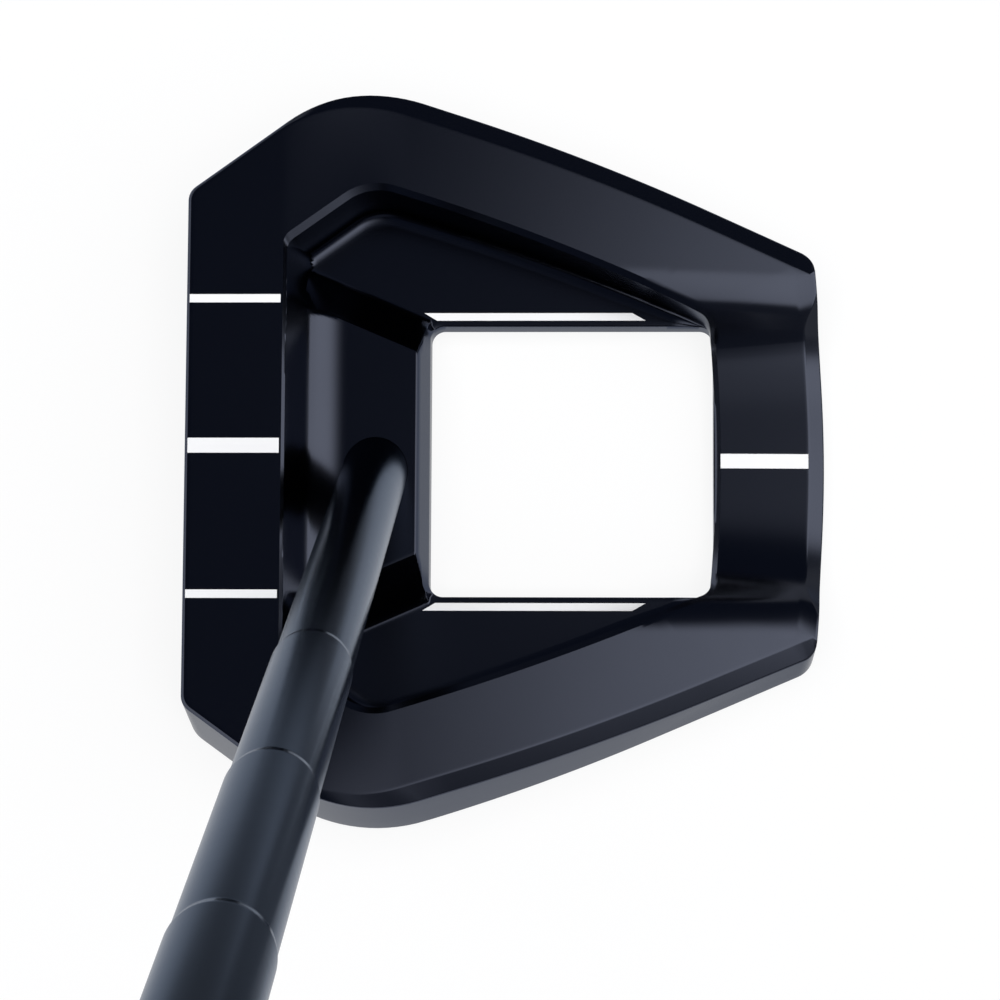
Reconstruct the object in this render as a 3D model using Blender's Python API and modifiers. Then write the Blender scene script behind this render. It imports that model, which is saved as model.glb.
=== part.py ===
"""Mallet putter: ring-shaped milled head with a square window, stepped steel shaft and flat-front grip.

Frame: metres, +Z up, +X from the face to the rear of the head, +Y to the toe, origin on the sole below
the shaft bore. Sizes below are millimetres. Head sizes are measured from the face's top edge (X) and
from the sole (Z), because that is how the head is laid out.
"""
import math

import bmesh
import bpy
from mathutils import Vector

MM = 0.001
GAP = 0.3                       # clearance between touching pieces
CLEAR = 5.0                     # how far a cutter reaches past what it cuts

# Head: overall
FACE_TO_ORIGIN = 27.0           # face's top edge to the shaft bore
HEAD_HEIGHT = 22.0              # sole to the top of the face bar
FACE_LOFT = math.radians(2.5)
FACE_HALF = 37.1                # half length of the straight face
BAR_WIDTH = 13.9                # face bar, front to rear
RING_WIDTH = 13.5               # toe and heel rails
REAR_WIDTH = 16.8               # rear bar, to just inside the window
FLOOR_Z = 5.0                   # top of the wing floors
FLOOR_FILLET = 1.8
FILLET_STEPS = 3

# Head: corners of the shoulder outline on the toe half, and their rounding
APEX = (23.2, 53.86)
MID_RAIL = (57.4, 43.35)
REAR_CORNER = (90.68, 29.16)
REAR_MIDDLE = (93.25, 0.0)
CORNER_RADII = (2.5, 22.0, 380.0, 3.0, 200.0)
CORNER_STEPS = (4, 8, 8, 4, 10)
INNER_RADIUS = 2.4              # smallest rounding of an inset corner

# Head: sections of the ring, as insets of (face, toe chamfer, front rail, rear rail, rear bar)
SOLE_EDGE = (0.3, -0.7, -0.2, 0.0, 0.9)
SKIRT_FOOT = (-0.9, -2.6, -2.2, -1.4, -0.1)
SHOULDER = (0.0, 0.0, 0.0, 0.0, 0.0)
TOP_EDGE = (0.5, 0.5, 2.6, 2.6, 2.2)
RIM = (BAR_WIDTH, RING_WIDTH, RING_WIDTH, RING_WIDTH, REAR_WIDTH)
SOLE_EDGE_RISE = 1.2
FRONT_DROP = 0.75               # edge break round the front
RAIL_DROP = 1.75                # bevel along the rails
BEVEL_GROWTH = (20.0, 32.0)     # between these places the edge break grows to the bevel
RAIL_START = 14.0               # where the rails start to fall
RAIL_FALL = 0.03
RAIL_CURVE = 0.00115
RAIL_TILT = math.tan(math.radians(3.5))
TILT_RUN = 18.0                 # length over which the rails take up their tilt

# Rear bar: a valley between the rails, level along its middle while the rails fall
VALLEY_Z = 5.2
VALLEY_FLAT = 5.0               # half width of the level middle
VALLEY_TURN = 21.8              # where the hollow turns over
VALLEY_TOP = 26.4               # where it would meet the rails' tops
VALLEY_RIDGE = 0.65             # share of the turn-over before the ridge
VALLEY_OUTSIDE = 37.0
VALLEY_SPAN = (58.0, 105.0)
VALLEY_RISE = (13.6, 4.9)       # valley to rail top, at the two ends of the span
VALLEY_STEPS = 6
VALLEY_SLICES = 4
REAR_BEVEL = 2.2
REAR_BEVEL_SLOPE = 0.8
REAR_BEVEL_FADE = (17.0, 25.0)  # it narrows away between these distances from the middle
REAR_BEVEL_LEAST = 0.1
REAR_EDGE = 92.48               # rearmost point of the shoulder

# Window
WINDOW_REAR = 76.0
WINDOW_HALF = 20.1
WINDOW_RADIUS = 2.0
WINDOW_FRONT = (35.3, 31.3)     # the front wall leans forward as it rises
WINDOW_LEVELS = (-2.0, 27.0)    # heights of those two places, below the sole and above the head

# Boss behind the face bar
BOSS_FRONT = 9.0
BOSS_REAR = 37.0
BOSS_BASE_HALF = (31.6, 19.5)   # half widths at the front and rear, on the wing floor
BOSS_LEAN = 0.68                # sideways run for each unit of height
BOSS_LEVELS = (3.0, 21.0)       # its foot inside the floor, and its top before the deck is cut
DECK_Z = 14.5
COVE_START = 13.5               # inside the bar, so the cove leaves it at an angle
COVE_RADIUS = 9.0
COVE_STEPS = 7

# Shaft, along its own axis from the point where it crosses the head's middle plane
LIE = math.radians(69.4)
FORWARD_LEAN = math.radians(0.5)
SHAFT_CROSSING_Z = 7.0
SHAFT_TIP = -3.2
SHAFT_BUTT = 850.0
TIP_RADIUS = 4.7
FIRST_STEP = 109.0
STEP_PITCH = 46.8
STEP_COUNT = 11
STEP_RISE = 0.25
STEP_CONE = 2.0
BORE_TIP_RADIUS = 4.0
BORE_BUTT_RADIUS = 6.75
SHAFT_SIDES = 28
PLUG_LENGTH = 8.0
PLUG_INSET = 0.5

# Grip, on the same axis
GRIP_START = 583.0
GRIP_END = 851.0
TAPE_THICKNESS = 0.3
CAP_RADIUS = 9.5
CAP_THICKNESS = 2.6
CAP_DOME = ((0.7, 0.8), (1.0, 0.3))     # shares of the cap's radius and thickness on its dome
VENT_RADIUS = 1.2
TAPE_INSET = (3.0, 2.0)         # tape's ends from the grip's mouth and the shaft's butt
GRIP_POINTS = 28
GRIP_FLATNESS = 1.45            # how soon the round sides turn into the flat front
# half width, back depth and front depth along the grip, from its mouth to its butt
GRIP_SECTIONS = ((0.0, 10.2, 10.6, 9.9), (0.12, 11.2, 11.8, 10.4), (0.35, 12.0, 13.2, 10.8),
                 (0.6, 12.6, 14.2, 11.0), (0.82, 13.4, 16.0, 11.2), (0.94, 13.8, 17.4, 11.2),
                 (1.0, 13.0, 16.6, 10.6))

# Sight lines
GROOVE_DEPTH = 0.6
PAINT_SIDE_GAP = 0.15
BALL_DIAMETER = 42.67           # the outer face lines are a ball's width apart
CENTRE_LINE = 2.15
OUTER_LINE = 1.2
FACE_LINE_START = 0.5
REAR_LINE = (77.2, 90.1)
WINDOW_LINE_INNER = (35.3, 66.2, 21.0)
WINDOW_LINE_OUTER = (33.4, 64.2, 22.13)

# Face insert and sole weights
INSERT_SIZE = (68.0, 12.5, 3.0)
INSERT_RADIUS = 3.0
INSERT_Z = 11.0
WEIGHT_RADIUS = 4.5
WEIGHT_HEIGHT = 7.0
WEIGHT_RECESS = 0.4
WEIGHT_SOCKET = (2.3, 3.0)
WEIGHT_SPOTS = ((9.0, 31.0), (24.0, 43.5), (50.0, 38.6), (80.0, 25.0))


def new_collection(name):
    collection = bpy.data.collections.new(name)
    bpy.context.scene.collection.children.link(collection)
    return collection


def clear_scene():
    for old in list(bpy.data.objects):
        bpy.data.objects.remove(old, do_unlink=True)


clear_scene()
PUTTER = new_collection("mallet_putter")
CUTTERS = new_collection("cutters")


def material(name, color, roughness, metallic):
    """Principled material for one sub-part."""
    mat = bpy.data.materials.new(name)
    mat.use_nodes = True
    shader = mat.node_tree.nodes["Principled BSDF"]
    shader.inputs["Base Color"].default_value = (*color, 1.0)
    shader.inputs["Roughness"].default_value = roughness
    shader.inputs["Metallic"].default_value = metallic
    return mat


ANODISED = material("anodised_black", (0.012, 0.013, 0.016), 0.38, 0.6)
STEEL = material("dark_steel", (0.10, 0.10, 0.11), 0.35, 1.0)
PAINT = material("white_paint", (0.9, 0.9, 0.9), 0.45, 0.0)
MILLED = material("milled_insert", (0.25, 0.25, 0.26), 0.4, 1.0)
WEIGHT = material("weight_steel", (0.18, 0.18, 0.19), 0.4, 1.0)
RUBBER = material("grip_rubber", (0.02, 0.02, 0.02), 0.75, 0.0)
TAPE = material("tape", (0.75, 0.72, 0.62), 0.8, 0.0)
PLASTIC = material("black_plastic", (0.03, 0.03, 0.03), 0.5, 0.0)


def empty(name, location, rotation=(0.0, 0.0, 0.0)):
    """Empty that carries pieces, placed in millimetres."""
    carrier = bpy.data.objects.new(name, None)
    carrier.location = Vector(location) * MM
    carrier.rotation_euler = rotation
    PUTTER.objects.link(carrier)
    return carrier


HEAD = empty("head_frame", (-FACE_TO_ORIGIN, 0.0, 0.0))
FACE = empty("face_frame", (-FACE_TO_ORIGIN - (HEAD_HEIGHT - INSERT_Z) * math.tan(FACE_LOFT), 0.0, INSERT_Z),
             (0.0, FACE_LOFT, 0.0))
SHAFT_AXIS = empty("shaft_frame", (0.0, 0.0, SHAFT_CROSSING_Z),
                   (math.pi / 2 - LIE, -FORWARD_LEAN, 0.0))


def add_object(name, mesh, parent, finish=None):
    """Link a mesh as a sub-part, or as a cutter when it has no finish."""
    piece = bpy.data.objects.new(name, mesh)
    piece.parent = parent
    if finish is None:
        CUTTERS.objects.link(piece)
        piece.hide_render = True
        piece.display_type = "WIRE"
        return piece
    PUTTER.objects.link(piece)
    mesh.materials.append(finish)
    mesh.shade_smooth()
    mesh.set_sharp_from_angle(angle=math.radians(30.0))
    return piece


def loft(name, loops, parent, finish=None):
    """Closed solid through a stack of loops with equal point counts, capped at both ends."""
    bm = bmesh.new()
    rings = [[bm.verts.new(Vector(point) * MM) for point in loop] for loop in loops]
    for lower, upper in zip(rings, rings[1:]):
        for i in range(len(lower)):
            j = (i + 1) % len(lower)
            bm.faces.new((lower[i], lower[j], upper[j]))
            bm.faces.new((lower[i], upper[j], upper[i]))
    bm.faces.new(rings[0])
    bm.faces.new(rings[-1])
    bmesh.ops.recalc_face_normals(bm, faces=bm.faces)
    mesh = bpy.data.meshes.new(name)
    bm.to_mesh(mesh)
    bm.free()
    return add_object(name, mesh, parent, finish)


def prism_z(name, outline, low, high, parent, finish=None):
    """Straight prism of a plan outline."""
    return loft(name, [[(x, y, z) for x, y in outline] for z in (low, high)], parent, finish)


def cylinder(name, radius, low, high, place, parent, finish=None, sides=24):
    """Cylinder along local Z at a plan position."""
    bm = bmesh.new()
    bmesh.ops.create_cone(bm, cap_ends=True, segments=sides, radius1=radius * MM, radius2=radius * MM,
                          depth=(high - low) * MM)
    mesh = bpy.data.meshes.new(name)
    bm.to_mesh(mesh)
    bm.free()
    piece = add_object(name, mesh, parent, finish)
    piece.location = (place[0] * MM, place[1] * MM, (low + high) / 2 * MM)
    return piece


def turned(name, profile, parent, finish, sides):
    """Closed profile of (radius, height) points turned about local Z."""
    mesh = bpy.data.meshes.new(name)
    count = len(profile)
    edges = [(i, (i + 1) % count) for i in range(count)]
    mesh.from_pydata([(r * MM, 0.0, z * MM) for r, z in profile], edges, [])
    piece = add_object(name, mesh, parent, finish)
    screw = piece.modifiers.new("turn", "SCREW")
    screw.steps = sides
    screw.render_steps = sides
    screw.use_merge_vertices = True
    screw.merge_threshold = 1e-6
    return piece


def boolean(piece, cutter, operation="DIFFERENCE"):
    cut = piece.modifiers.new(cutter.name, "BOOLEAN")
    cut.operation = operation
    cut.solver = "EXACT"
    cut.object = cutter


def line_crossing(line_a, line_b):
    """Crossing of two lines, each a (point, direction) pair."""
    (ax, ay), (dx, dy) = line_a
    (bx, by), (ex, ey) = line_b
    along = ((bx - ax) * ey - (by - ay) * ex) / (dx * ey - dy * ex)
    return Vector((ax + dx * along, ay + dy * along))


def corner_arc(before, corner, after, radius, steps):
    """Points of the arc that rounds a corner between two directions."""
    turn = before.angle_signed(after)
    reach = radius * math.tan(abs(turn) / 2)
    start = corner - before * reach
    side = 1.0 if turn > 0 else -1.0
    centre = start + Vector((before.y, -before.x)) * radius * side
    spoke = start - centre
    points = []
    for i in range(steps + 1):
        angle = -turn * i / steps
        points.append(centre + Vector((spoke.x * math.cos(angle) - spoke.y * math.sin(angle),
                                       spoke.x * math.sin(angle) + spoke.y * math.cos(angle))))
    return points


def ring_outline(insets):
    """Closed plan outline of the head, each side moved inwards by its inset."""
    stops = [(0.0, 0.0), (0.0, FACE_HALF), APEX, MID_RAIL, REAR_CORNER, REAR_MIDDLE]
    lines = []
    for start, end, inset in zip(stops, stops[1:], insets):
        heading = (Vector(end) - Vector(start)).normalized()
        inward = Vector((heading.y, -heading.x))
        moved = Vector(start) + inward * inset
        lines.append((tuple(moved), tuple(heading)))
    rear_mirror = ((lines[-1][0][0], -lines[-1][0][1]), (-lines[-1][1][0], lines[-1][1][1]))
    lines.append(rear_mirror)
    half = []
    for i, (radius, steps) in enumerate(zip(CORNER_RADII, CORNER_STEPS)):
        corner = line_crossing(lines[i], lines[i + 1])
        inset = (insets[min(i, 4)] + insets[min(i + 1, 4)]) / 2
        rounding = max(radius - inset, INNER_RADIUS)
        half += corner_arc(Vector(lines[i][1]), corner, Vector(lines[i + 1][1]), rounding, steps)
    half = half[:len(half) - CORNER_STEPS[-1] // 2]
    heel = [Vector((p.x, -p.y)) for p in reversed(half[:-1])]
    return [(p.x, p.y) for p in half + heel]


def blend(value, low, high):
    t = min(max((value - low) / (high - low), 0.0), 1.0)
    return t * t * (3 - 2 * t)


def top_height(x, from_rim):
    """Height of the ring's top, which falls to the rear and tilts outwards along the rails."""
    run = max(0.0, x - RAIL_START)
    tilt = RAIL_TILT * blend(x, RAIL_START, RAIL_START + TILT_RUN)
    return HEAD_HEIGHT - RAIL_FALL * run - RAIL_CURVE * run * run - tilt * from_rim


def head_blank():
    """Ring and floor: skirt, bevel and falling top outside, wall and filleted foot inside."""
    sole = [(x, y, 0.0) for x, y in ring_outline(SOLE_EDGE)]
    foot = [(x, y, SOLE_EDGE_RISE) for x, y in ring_outline(SKIRT_FOOT)]
    rail_top = RING_WIDTH - TOP_EDGE[2]
    shoulder = []
    for x, y in ring_outline(SHOULDER):
        drop = FRONT_DROP + (RAIL_DROP - FRONT_DROP) * blend(x, *BEVEL_GROWTH)
        shoulder.append((x, y, top_height(x, rail_top) - drop))
    top = [(x, y, top_height(x, rail_top)) for x, y in ring_outline(TOP_EDGE)]
    rim = [(x, y, top_height(x, 0.0)) for x, y in ring_outline(RIM)]
    wall = []
    for i in range(FILLET_STEPS + 1):
        angle = math.pi / 2 * i / FILLET_STEPS
        run = FLOOR_FILLET * (1 - math.cos(angle))
        z = FLOOR_Z + FLOOR_FILLET * (1 - math.sin(angle))
        wall.append([(x, y, z) for x, y in ring_outline([inset + run for inset in RIM])])
    return loft("head_body", [sole, foot, shoulder, top, rim] + wall, HEAD, ANODISED)


def add_boss(head):
    """Raised block behind the face bar, with leaning sides and a cove up to the bar."""
    def level(z):
        lean = BOSS_LEAN * (z - FLOOR_Z)
        front, rear = BOSS_BASE_HALF[0] - lean, BOSS_BASE_HALF[1] - lean
        return [(BOSS_FRONT, front, z), (BOSS_REAR, rear, z), (BOSS_REAR, -rear, z), (BOSS_FRONT, -front, z)]
    block = loft("boss", [level(z) for z in BOSS_LEVELS], HEAD)
    cove_top = DECK_Z + COVE_RADIUS
    profile = [(BOSS_FRONT - CLEAR, cove_top + CLEAR), (BOSS_FRONT - CLEAR, cove_top)]
    for i in range(COVE_STEPS + 1):
        angle = math.pi / 2 * i / COVE_STEPS
        profile.append((COVE_START + COVE_RADIUS * (1 - math.cos(angle)),
                        cove_top - COVE_RADIUS * math.sin(angle)))
    profile += [(BOSS_REAR + CLEAR, DECK_Z), (BOSS_REAR + CLEAR, cove_top + CLEAR)]
    side = BOSS_BASE_HALF[0] + CLEAR
    deck = loft("deck", [[(x, y, z) for x, z in profile] for y in (-side, side)], HEAD)
    boolean(block, deck)
    boolean(head, block, "UNION")


def valley_share(y):
    """Height across the rear bar as a share of the rise to the rails: a hollow that turns over to a ridge."""
    out = abs(y)
    hollow = VALLEY_TURN - VALLEY_FLAT
    turn = VALLEY_TOP - VALLEY_TURN
    whole = hollow / 3 + turn / 2
    if out <= VALLEY_TURN:
        return hollow / 3 * (max(0.0, out - VALLEY_FLAT) / hollow) ** 3 / whole
    over = (out - VALLEY_TURN) / turn
    eased = min(over, VALLEY_RIDGE)
    straight = (over - eased) * (1 - VALLEY_RIDGE)
    return (hollow / 3 + turn * (eased - eased ** 2 / 2 + straight)) / whole


def valley_height(x, y):
    along = (x - VALLEY_SPAN[0]) / (VALLEY_SPAN[1] - VALLEY_SPAN[0])
    rise = VALLEY_RISE[0] + (VALLEY_RISE[1] - VALLEY_RISE[0]) * along
    return VALLEY_Z + rise * valley_share(y)


def cut_rear_bar(head):
    """Valley along the rear bar and the bevel of its outer edge."""
    ridge = VALLEY_TURN + VALLEY_RIDGE * (VALLEY_TOP - VALLEY_TURN)
    stations = [VALLEY_FLAT + (VALLEY_TURN - VALLEY_FLAT) * i / VALLEY_STEPS for i in range(VALLEY_STEPS)]
    stations += [VALLEY_TURN + (ridge - VALLEY_TURN) * i / 3 for i in range(4)] + [VALLEY_OUTSIDE]
    stations = [-y for y in reversed(stations)] + stations
    sections = []
    for i in range(VALLEY_SLICES + 1):
        x = VALLEY_SPAN[0] + (VALLEY_SPAN[1] - VALLEY_SPAN[0]) * i / VALLEY_SLICES
        lid = [(x, VALLEY_OUTSIDE, 2 * HEAD_HEIGHT), (x, -VALLEY_OUTSIDE, 2 * HEAD_HEIGHT)]
        sections.append([(x, y, valley_height(x, y)) for y in stations] + lid)
    boolean(head, loft("valley", sections, HEAD))
    sections = []
    for y in stations[1:-1]:
        edge = REAR_EDGE - y * y / (2 * CORNER_RADII[4])
        width = max(REAR_BEVEL * (1 - blend(abs(y), *REAR_BEVEL_FADE)), REAR_BEVEL_LEAST)
        inner, outer = edge - width, edge + REAR_BEVEL
        z = valley_height(inner, y)
        sections.append([(inner, y, z), (outer, y, z - (outer - inner) * REAR_BEVEL_SLOPE),
                         (outer, y, z + HEAD_HEIGHT), (inner, y, z + HEAD_HEIGHT)])
    boolean(head, loft("rear_bevel", sections, HEAD))


def rounded_rectangle(x0, x1, half, radius, steps=5):
    """Plan rectangle with rounded corners, symmetric about the middle plane."""
    points = []
    for cx, cy, start in ((x1 - radius, half - radius, 0), (x0 + radius, half - radius, 1),
                          (x0 + radius, radius - half, 2), (x1 - radius, radius - half, 3)):
        for i in range(steps + 1):
            angle = math.pi / 2 * (start + i / steps)
            points.append((cx + radius * math.cos(angle), cy + radius * math.sin(angle)))
    return points


def cut_window(head):
    levels = []
    for z, front in zip(WINDOW_LEVELS, WINDOW_FRONT):
        outline = rounded_rectangle(front, WINDOW_REAR, WINDOW_HALF, WINDOW_RADIUS)
        levels.append([(x, y, z) for x, y in outline])
    boolean(head, loft("window", levels, HEAD))


def sight_line(head, name, outline, top):
    """Milled groove and the paint that fills it, for an outline given as ((x, y), ...)."""
    middle = Vector((sum(x for x, y in outline), sum(y for x, y in outline))) / len(outline)
    grown = []
    for x, y in outline:
        out_x = math.copysign(PAINT_SIDE_GAP, x - middle.x)
        out_y = math.copysign(PAINT_SIDE_GAP, y - middle.y)
        grown.append((x + out_x, y + out_y))
    boolean(head, prism_z(name + "_groove", grown, top - GROOVE_DEPTH, top + CLEAR, HEAD))
    prism_z(name, outline, top - GROOVE_DEPTH + GAP, top, HEAD, PAINT)


def add_sight_lines(head):
    def bar(x0, x1, y, width):
        return [(x0, y - width / 2), (x1, y - width / 2), (x1, y + width / 2), (x0, y + width / 2)]
    face_end = BAR_WIDTH - 2 * PAINT_SIDE_GAP
    for place, y, width in (("toe", BALL_DIAMETER / 2, OUTER_LINE), ("centre", 0.0, CENTRE_LINE),
                            ("heel", -BALL_DIAMETER / 2, OUTER_LINE)):
        sight_line(head, "sightline_face_" + place, bar(FACE_LINE_START, face_end, y, width), HEAD_HEIGHT)
    sight_line(head, "sightline_rear", bar(*REAR_LINE, 0.0, CENTRE_LINE), VALLEY_Z)
    for place, side in (("toe", 1), ("heel", -1)):
        (x0, x1, y0), (x2, x3, y1) = WINDOW_LINE_INNER, WINDOW_LINE_OUTER
        outline = [(x0, side * y0), (x1, side * y0), (x3, side * y1), (x2, side * y1)]
        sight_line(head, "sightline_window_" + place, outline, FLOOR_Z)


def add_face_insert(head):
    """Milled plate let into the lofted face."""
    length, height, depth = INSERT_SIZE

    def plate(name, grow, front, back, finish=None):
        half = height / 2 + grow
        outline = rounded_rectangle(-half, half, length / 2 + grow, INSERT_RADIUS + grow)
        return loft(name, [[(x, y, z) for z, y in outline] for x in (front, back)], FACE, finish)
    boolean(head, plate("insert_pocket", GAP, -CLEAR, depth + GAP))
    plate("face_insert", 0.0, 0.0, depth, MILLED)


def add_weights(head):
    """Threaded balance weights with a hex socket, in pockets from the sole."""
    for place, side in (("toe", 1), ("heel", -1)):
        for number, (x, y) in enumerate(WEIGHT_SPOTS, 1):
            spot = (x, side * y)
            name = f"weight_{place}_{number}"
            top = WEIGHT_RECESS + WEIGHT_HEIGHT
            boolean(head, cylinder(name + "_pocket", WEIGHT_RADIUS + GAP, -CLEAR, top + GAP, spot, HEAD))
            weight = cylinder(name, WEIGHT_RADIUS, WEIGHT_RECESS, top, spot, HEAD, WEIGHT)
            socket_radius, socket_depth = WEIGHT_SOCKET
            socket_top = WEIGHT_RECESS + socket_depth
            socket = cylinder(name + "_socket", socket_radius, -CLEAR, socket_top, spot, HEAD, sides=6)
            boolean(weight, socket)


def shaft_radius(step):
    return TIP_RADIUS + STEP_RISE * step


def add_shaft(head):
    """Stepped steel tube in the boss's bore, with the plug in its tip."""
    profile = []
    for step in range(STEP_COUNT + 1):
        low = SHAFT_TIP if step == 0 else FIRST_STEP + STEP_PITCH * (step - 1) + STEP_CONE
        high = SHAFT_BUTT if step == STEP_COUNT else FIRST_STEP + STEP_PITCH * step
        profile += [(shaft_radius(step), low), (shaft_radius(step), high)]
    last_step = FIRST_STEP + STEP_PITCH * (STEP_COUNT - 1)
    inner = [(BORE_TIP_RADIUS, SHAFT_TIP), (BORE_TIP_RADIUS, FIRST_STEP),
             (BORE_BUTT_RADIUS, last_step), (BORE_BUTT_RADIUS, SHAFT_BUTT)]
    turned("shaft", list(reversed(profile)) + inner, SHAFT_AXIS, STEEL, SHAFT_SIDES)
    middle = (0.0, 0.0)
    bore = cylinder("shaft_bore", TIP_RADIUS + GAP, SHAFT_TIP - GAP, 2 * HEAD_HEIGHT, middle, SHAFT_AXIS,
                    sides=32)
    boolean(head, bore)
    plug_end = SHAFT_TIP + PLUG_INSET
    cylinder("shaft_tip_plug", BORE_TIP_RADIUS - GAP, plug_end, plug_end + PLUG_LENGTH, middle, SHAFT_AXIS,
             PLASTIC, sides=16)


def grip_section(along, half_width, back, front):
    """Grip section: round back, flat front towards local +Y."""
    points = []
    for i in range(GRIP_POINTS):
        angle = 2 * math.pi * i / GRIP_POINTS
        y = math.sin(angle)
        depth = min(y * GRIP_FLATNESS * front, front) if y > 0 else y * back
        points.append((half_width * math.cos(angle), depth, GRIP_START + (GRIP_END - GRIP_START) * along))
    return points


def add_grip():
    """Rubber grip over its tape, closed by a cap in the butt."""
    grip = loft("grip", [grip_section(*section) for section in GRIP_SECTIONS], SHAFT_AXIS, RUBBER)
    butt_radius = shaft_radius(STEP_COUNT)
    tape_inside = butt_radius + GAP
    tape_outside = tape_inside + TAPE_THICKNESS
    bore = cylinder("grip_bore", tape_outside + GAP, GRIP_START - CLEAR, GRIP_END + CLEAR, (0.0, 0.0),
                    SHAFT_AXIS, sides=32)
    boolean(grip, bore)
    low, high = GRIP_START + TAPE_INSET[0], SHAFT_BUTT - TAPE_INSET[1]
    turned("grip_tape", [(tape_outside, high), (tape_outside, low), (tape_inside, low), (tape_inside, high)],
           SHAFT_AXIS, TAPE, 24)
    base = GRIP_END + GAP
    dome = [(CAP_RADIUS * out, base + CAP_THICKNESS * up) for out, up in CAP_DOME]
    cap = [(VENT_RADIUS, base + CAP_THICKNESS)] + dome + [(CAP_RADIUS, base), (VENT_RADIUS, base)]
    turned("grip_cap", cap, SHAFT_AXIS, PLASTIC, 24)


def build():
    head = head_blank()
    add_boss(head)
    cut_rear_bar(head)
    cut_window(head)
    add_sight_lines(head)
    add_face_insert(head)
    add_weights(head)
    add_shaft(head)
    add_grip()


build()
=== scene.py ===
"""Looks of the mallet putter: milled head, stepped shaft, moulded grip, finishes, light and camera.

Head sizes are millimetres from the face's top edge (X), the middle plane (Y) and the sole (Z), as the
head is laid out in the part's source. Shaft and grip sizes are millimetres along the shaft's own axis.
"""
import math

import bmesh
import bpy
from mathutils import Euler, Matrix, Quaternion, Vector


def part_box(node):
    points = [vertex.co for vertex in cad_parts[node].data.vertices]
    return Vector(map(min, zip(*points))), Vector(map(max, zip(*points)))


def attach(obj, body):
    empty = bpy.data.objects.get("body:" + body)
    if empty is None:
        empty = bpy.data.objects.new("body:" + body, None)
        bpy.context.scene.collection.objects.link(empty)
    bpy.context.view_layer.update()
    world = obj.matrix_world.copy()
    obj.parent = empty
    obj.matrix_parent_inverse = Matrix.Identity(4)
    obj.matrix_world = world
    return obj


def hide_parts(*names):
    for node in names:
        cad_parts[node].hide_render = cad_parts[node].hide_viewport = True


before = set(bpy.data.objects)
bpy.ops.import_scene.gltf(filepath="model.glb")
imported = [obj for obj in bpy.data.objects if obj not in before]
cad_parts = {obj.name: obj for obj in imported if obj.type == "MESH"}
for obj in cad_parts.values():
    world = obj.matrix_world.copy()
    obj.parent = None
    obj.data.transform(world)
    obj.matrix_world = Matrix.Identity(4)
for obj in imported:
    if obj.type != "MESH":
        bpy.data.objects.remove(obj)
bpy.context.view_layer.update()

MM = 0.001
BODY = "root"

# Floor, in metres
FLOOR_HALF = 15.0
FLOOR_DROP = 0.0003             # below the sole, so that the two don't share a plane
FLOOR_ROUGHNESS = 0.9
FLOOR_GLOW = 0.85               # share of the floor that shows plain white to the camera
FLOOR_TONE = (0.92, 0.15)       # its grey near the object, and beyond the fades the darker grey that metal shows: painted shade in the metal's reflections
TOE_FADE = (0.058, 0.10)        # Y between which it fades past the toe to that painted shade
REAR_FADE = (0.064, 0.074)      # X between which it fades past the rear to that painted shade

# Light: spans run from dark to light, in parts of a unit direction
DOME_LIGHT = 1.25
DOME_SPAN = (-0.06, 0.54)       # X: dark above the face, light above the rear
TOE_SPAN = (0.36, -0.1)         # Y: dark above the toe
TOE_SLANT = 0.5                 # that dark side slants by this share of X
RAISED_SPAN = (0.55, 0.88)      # Z: dark low down to the sides
REAR_SLANT = 0.4                # the light reaches lower to the rear, by this share of X
LOW_LIGHT = 0.06                # share of the dome's light that is left low down
MIDDLE_SPAN = (0.4, 0.14)       # Y either way: straight to the rear it is light low down too
HORIZON_LIGHT = 0.95
HORIZON_SPAN = (0.25, 0.0)      # Z
HORIZON_SIDE = (-0.15, -0.7)    # X: the horizon is light before the face alone
ROOM_LIGHT = 0.042              # faint bluish light from all round
ROOM_COLOR = (0.8, 1.0, 1.6, 1.0)
TOP_LIGHT = 68.0                # watts
TOP_LIGHT_HEIGHT = 2.6          # metres
TOP_LIGHT_SIZE = 2.4

# Camera, fitted to the photograph
CAMERA_PLACE = (0.034666, -0.070552, 0.530781)
CAMERA_TURN = (0.1226, 0.0318, 0.0030)      # axis times angle, from a view straight down
CAMERA_LENS = 129.6             # millimetres, as is the sensor
CAMERA_SENSOR = 36.0
CAMERA_NEAR = 0.02              # metres

# Head: outline of the shoulder on the toe half, and its rounding
FACE_TO_ORIGIN = 27.0           # X of the frame's origin
HEAD_HEIGHT = 22.0
FACE_HALF = 37.1
APEX = (23.2, 53.86)
MID_RAIL = (57.4, 43.35)
REAR_CORNER = (90.68, 29.16)
REAR_MIDDLE = (93.25, 0.0)
CORNER_RADII = (2.5, 22.0, 380.0, 3.0, 200.0)
INNER_RADIUS = 2.4              # least rounding of a corner that is moved inwards
LONGEST_ROUNDING = 0.95         # most of a side that the next corner's arc may take up
SIDE_STEPS = (70, 26, 8, 30, 40)            # points along each side and round each corner
CORNER_STEPS = (6, 16, 32, 8, 28)
RAIL_INDEX = sum(SIDE_STEPS[:4]) + sum(CORNER_STEPS[:3])    # last outline point of the rail
REAR_INDEX = RAIL_INDEX + CORNER_STEPS[3]                   # last point of the rear corner

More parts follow.
